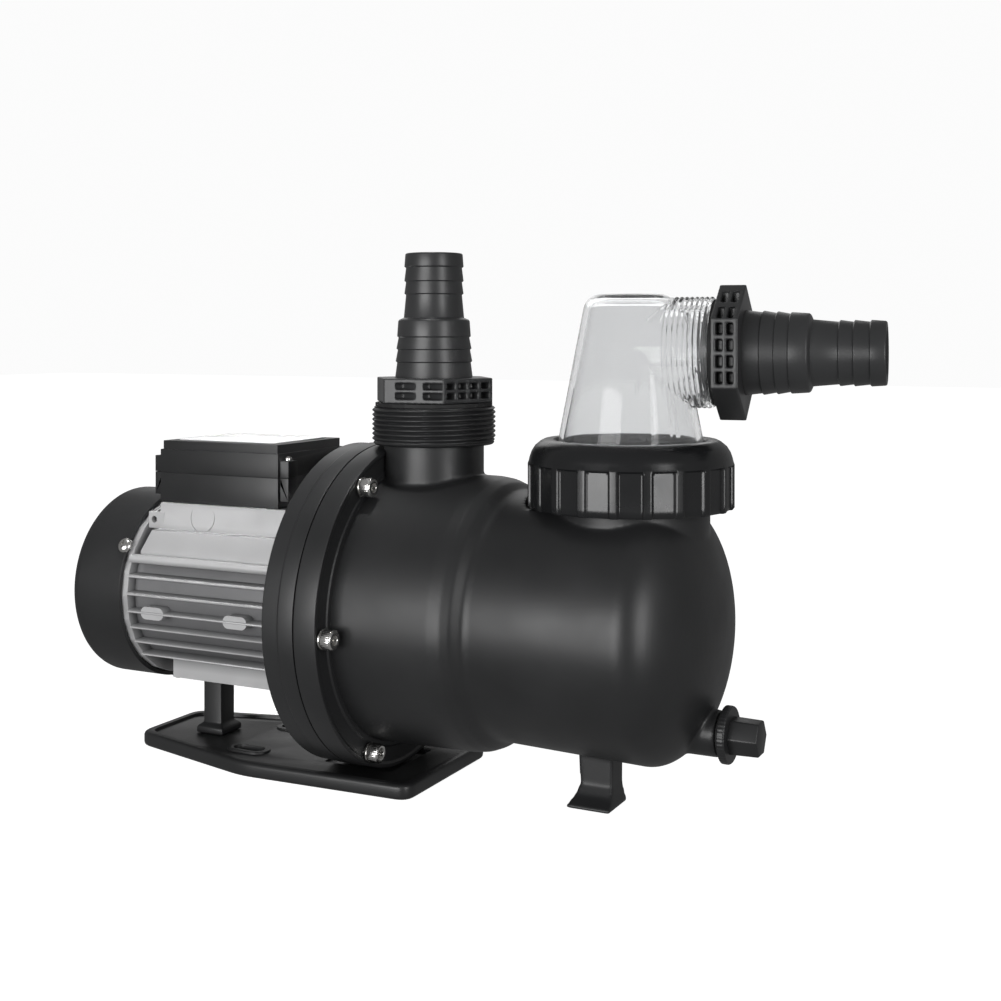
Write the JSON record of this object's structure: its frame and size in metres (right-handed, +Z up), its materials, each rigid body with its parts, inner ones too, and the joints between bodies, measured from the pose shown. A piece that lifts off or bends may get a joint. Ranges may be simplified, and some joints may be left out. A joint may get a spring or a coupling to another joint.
{
  "type": "pool pump",
  "caption": "Self-contained pool pump: plastic wet end with strainer, clear swivelling inlet elbow, hose-tail adapters, drain plug, and an air-cooled electric motor on a base plate.",
  "frame": {"origin": "on the ground under the middle of the overall box", "axes": "+X from the fan cover toward the inlet hose tail along the motor's shaft, +Z up"},
  "size_m": [0.4595, 0.1784, 0.2894],
  "materials": {
    "black_plastic": "satin moulded black",
    "box_plastic": "satin dark grey-black",
    "white_plastic": "satin white",
    "clear_plastic": "clear",
    "cast_aluminium": "satin",
    "stainless": "brushed",
    "steel": "ground",
    "lamination": "matt",
    "copper": "varnished",
    "rubber": "matt",
    "ceramic": "polished",
    "label": "satin silver"
  },
  "bodies": {
    "pump": {"base_plate": "black_plastic", "base_screw_1": "stainless", "base_screw_2": "stainless", "cable_gland": "box_plastic", "capacitor": "box_plastic", "casing_oring": "rubber", "cover_screw_1": "stainless", "cover_screw_2": "stainless", "cover_screw_3": "stainless", "diffuser": "white_plastic", "fan_cover": "black_plastic", "flange_bolt_1": "stainless", "flange_bolt_2": "stainless", "flange_bolt_3": "stainless", "flange_bolt_4": "stainless", "flange_bolt_5": "stainless", "flange_bolt_6": "stainless", "flange_washer_1": "stainless", "flange_washer_2": "stainless", "flange_washer_3": "stainless", "flange_washer_4": "stainless", "flange_washer_5": "stainless", "flange_washer_6": "stainless", "front_bearing": "steel", "front_shield": "cast_aluminium", "front_winding": "copper", "label_plate": "label", "lid_screw_1": "stainless", "lid_screw_2": "stainless", "lid_screw_3": "stainless", "lid_screw_4": "stainless", "motor_housing": "cast_aluminium", "motor_post": "black_plastic", "pump_body": "black_plastic", "rear_bearing": "steel", "rear_shield": "cast_aluminium", "rear_winding": "copper", "seal_plate": "black_plastic", "seal_seat": "ceramic", "stator_core": "lamination", "strainer_basket": "white_plastic", "terminal_block": "white_plastic", "terminal_box_base": "box_plastic", "terminal_box_gasket": "rubber", "terminal_box_lid": "box_plastic"},
    "rotor": {"motor_shaft": "steel", "rotor_core": "lamination", "impeller": "white_plastic", "cooling_fan": "box_plastic", "seal_head": "stainless", "slinger": "rubber"},
    "elbow_seal_lift": {"elbow_seal": "rubber"},
    "locking_ring": {"locking_ring": "black_plastic"},
    "inlet_elbow": {"inlet_elbow": "clear_plastic"},
    "inlet_gasket_lift": {"inlet_gasket": "rubber"},
    "inlet_adapter": {"inlet_adapter": "black_plastic"},
    "discharge_gasket_lift": {"discharge_gasket": "rubber"},
    "discharge_adapter": {"discharge_adapter": "black_plastic"},
    "drain_seal_lift": {"drain_seal": "rubber"},
    "drain_plug": {"drain_plug": "black_plastic"}
  },
  "joints": [
    {"name": "rotor_spin", "type": "hinge", "parent": "pump", "child": "rotor", "pos_m": [-0.1, 0, 0.094], "axis": [1, 0, 0], "continuous": true},
    {"name": "cover_rise", "type": "slide", "parent": "pump", "child": "elbow_seal_lift", "axis": [0, 0, 1], "range_m": [0, 0.0091]},
    {"name": "ring_turn", "type": "hinge", "parent": "elbow_seal_lift", "child": "locking_ring", "pos_m": [0.1005, 0, 0.17], "axis": [0, 0, 1], "range_deg": [0, 540]},
    {"name": "elbow_swivel", "type": "hinge", "parent": "elbow_seal_lift", "child": "inlet_elbow", "pos_m": [0.1005, 0, 0.18], "axis": [0, 0, 1], "range_deg": [-135, 135]},
    {"name": "inlet_adapter_back_out", "type": "slide", "parent": "inlet_elbow", "child": "inlet_gasket_lift", "axis": [0.9888, 0.1495, 0], "range_m": [0, 0.0105]},
    {"name": "inlet_adapter_turn", "type": "hinge", "parent": "inlet_gasket_lift", "child": "inlet_adapter", "pos_m": [0.15982, 0.00897, 0.2354], "axis": [0.9888, 0.1495, 0], "range_deg": [0, 1440]},
    {"name": "discharge_adapter_back_out", "type": "slide", "parent": "pump", "child": "discharge_gasket_lift", "axis": [0, 0, 1], "range_m": [0, 0.0105]},
    {"name": "discharge_adapter_turn", "type": "hinge", "parent": "discharge_gasket_lift", "child": "discharge_adapter", "pos_m": [-0.016, 0, 0.22], "axis": [0, 0, 1], "range_deg": [0, 1440]},
    {"name": "drain_plug_back_out", "type": "slide", "parent": "pump", "child": "drain_seal_lift", "axis": [1, 0, 0], "range_m": [0, 0.0085]},
    {"name": "drain_plug_turn", "type": "hinge", "parent": "drain_seal_lift", "child": "drain_plug", "pos_m": [0.155, 0, 0.044], "axis": [1, 0, 0], "range_deg": [0, 1440]}
  ],
  "couplings": [
    {"joint": "cover_rise", "follows": "ring_turn", "m_per_rad": 0.00095493},
    {"joint": "inlet_adapter_back_out", "follows": "inlet_adapter_turn", "m_per_rad": 0.0004138},
    {"joint": "discharge_adapter_back_out", "follows": "discharge_adapter_turn", "m_per_rad": 0.0004138},
    {"joint": "drain_plug_back_out", "follows": "drain_plug_turn", "m_per_rad": 0.00031831}
  ]
}
